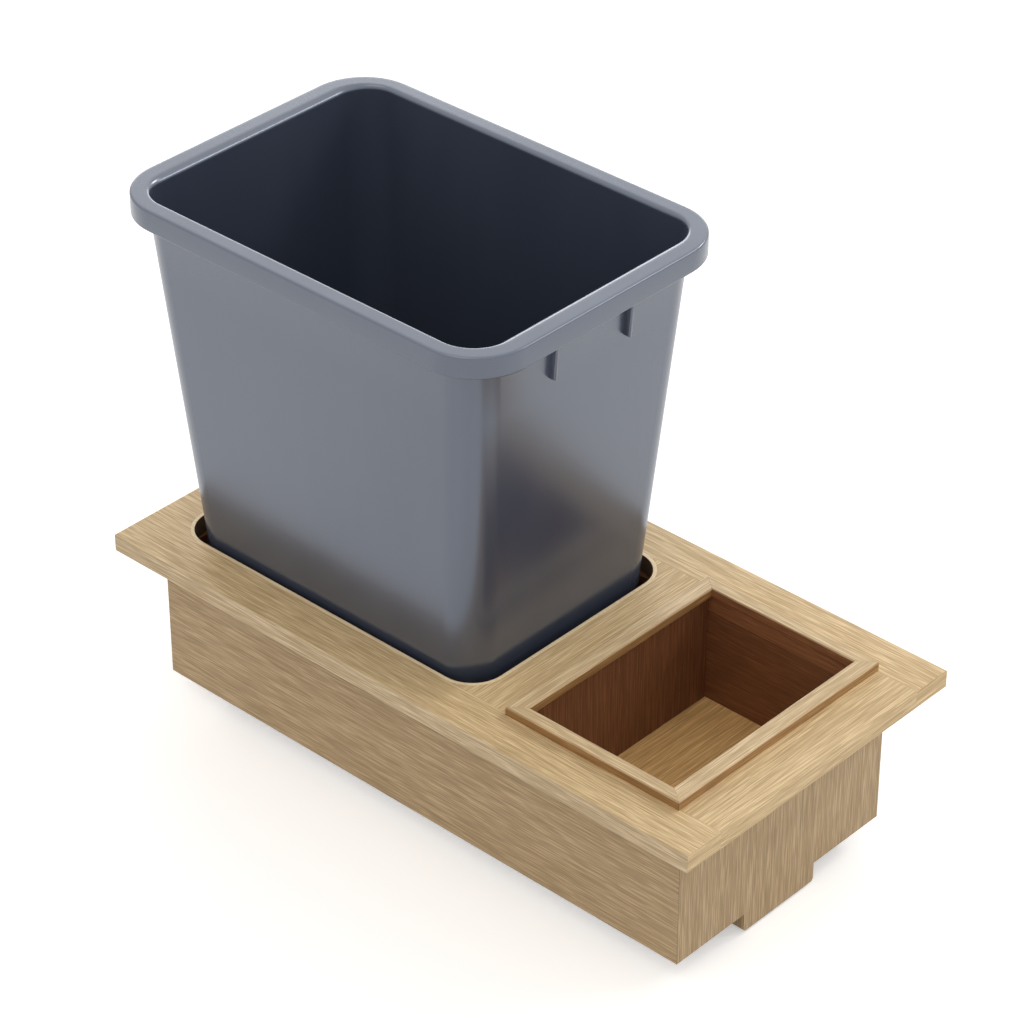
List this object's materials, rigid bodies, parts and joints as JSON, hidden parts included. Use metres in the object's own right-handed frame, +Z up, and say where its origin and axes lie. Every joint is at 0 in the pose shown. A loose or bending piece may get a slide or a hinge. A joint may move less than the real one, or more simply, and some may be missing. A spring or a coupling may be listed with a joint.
{
  "type": "pull-out waste bin insert",
  "caption": "Pull-out trash insert for a base cabinet: oak tray with a rimmed storage compartment and a lipped cut-out that holds a tapered plastic bin, on full-extension slides.",
  "frame": {"origin": "on the cabinet floor, under the middle of the panel", "axes": "+X across the insert to the right as seen from the front, +Y to the back of the cabinet (the tray pulls out along -Y), +Z up"},
  "size_m": [0.284, 0.562, 0.438],
  "materials": {
    "panel_oak": "clear satin lacquer",
    "lipping_oak": "clear satin lacquer",
    "rim_oak": "clear satin lacquer",
    "body_oak": "clear satin lacquer",
    "floor_ply": "clear satin lacquer",
    "dowel_beech": "raw",
    "bin_plastic": "satin moulded",
    "bracket_steel": "satin powder coat",
    "rivet_steel": "zinc plated",
    "slide_steel": "zinc plated",
    "cage_steel": "bright rolled",
    "ball_steel": "polished",
    "stop_rubber": "matte"
  },
  "bodies": {
    "base": {"bracket_left": "bracket_steel", "bracket_right": "bracket_steel", "tie_bar_front": "bracket_steel", "tie_bar_rear": "bracket_steel", "tie_rivets": "rivet_steel", "slide_rivets_left": "rivet_steel", "slide_rivets_right": "rivet_steel", "cabinet_member_left": "slide_steel", "cabinet_member_right": "slide_steel", "end_bumper_left": "stop_rubber", "end_bumper_right": "stop_rubber"},
    "tray": {"side_rail_left": "panel_oak", "side_rail_right": "panel_oak", "front_rail": "panel_oak", "middle_rail": "panel_oak", "back_rail": "panel_oak", "cutout_lipping": "lipping_oak", "rim_front": "rim_oak", "rim_back": "rim_oak", "rim_left": "rim_oak", "rim_right": "rim_oak", "side_board_left": "body_oak", "side_board_right": "body_oak", "front_board": "body_oak", "back_board": "body_oak", "divider_board": "body_oak", "floor_board": "floor_ply", "frame_dowels": "dowel_beech", "box_dowels": "dowel_beech", "drawer_member_left": "slide_steel", "drawer_member_right": "slide_steel", "tray_screws_left": "rivet_steel", "tray_screws_right": "rivet_steel"},
    "bin": {"waste_bin": "bin_plastic"},
    "middle_left": {"middle_member_left": "slide_steel"},
    "outer_cage_left": {"outer_cage_left": "cage_steel", "outer_balls_left": "ball_steel"},
    "inner_cage_left": {"inner_cage_left": "cage_steel", "inner_balls_left": "ball_steel"},
    "middle_right": {"middle_member_right": "slide_steel"},
    "outer_cage_right": {"outer_cage_right": "cage_steel", "outer_balls_right": "ball_steel"},
    "inner_cage_right": {"inner_cage_right": "cage_steel", "inner_balls_right": "ball_steel"}
  },
  "joints": [
    {"name": "tray_slide", "type": "slide", "parent": "base", "child": "tray", "axis": [0, -1, 0], "range_m": [0, 0.45]},
    {"name": "bin_lift", "type": "slide", "parent": "tray", "child": "bin", "axis": [0, 0, 1], "range_m": [0, 0.15]},
    {"name": "middle_left_slide", "type": "slide", "parent": "base", "child": "middle_left", "axis": [0, -1, 0], "range_m": [0, 0.225]},
    {"name": "outer_cage_left_slide", "type": "slide", "parent": "base", "child": "outer_cage_left", "axis": [0, -1, 0], "range_m": [0, 0.1125]},
    {"name": "inner_cage_left_slide", "type": "slide", "parent": "base", "child": "inner_cage_left", "axis": [0, -1, 0], "range_m": [0, 0.3375]},
    {"name": "middle_right_slide", "type": "slide", "parent": "base", "child": "middle_right", "axis": [0, -1, 0], "range_m": [0, 0.225]},
    {"name": "outer_cage_right_slide", "type": "slide", "parent": "base", "child": "outer_cage_right", "axis": [0, -1, 0], "range_m": [0, 0.1125]},
    {"name": "inner_cage_right_slide", "type": "slide", "parent": "base", "child": "inner_cage_right", "axis": [0, -1, 0], "range_m": [0, 0.3375]}
  ],
  "couplings": [
    {"joint": "middle_left_slide", "follows": "tray_slide", "ratio": 0.5},
    {"joint": "outer_cage_left_slide", "follows": "tray_slide", "ratio": 0.25},
    {"joint": "inner_cage_left_slide", "follows": "tray_slide", "ratio": 0.75},
    {"joint": "middle_right_slide", "follows": "tray_slide", "ratio": 0.5},
    {"joint": "outer_cage_right_slide", "follows": "tray_slide", "ratio": 0.25},
    {"joint": "inner_cage_right_slide", "follows": "tray_slide", "ratio": 0.75}
  ]
}
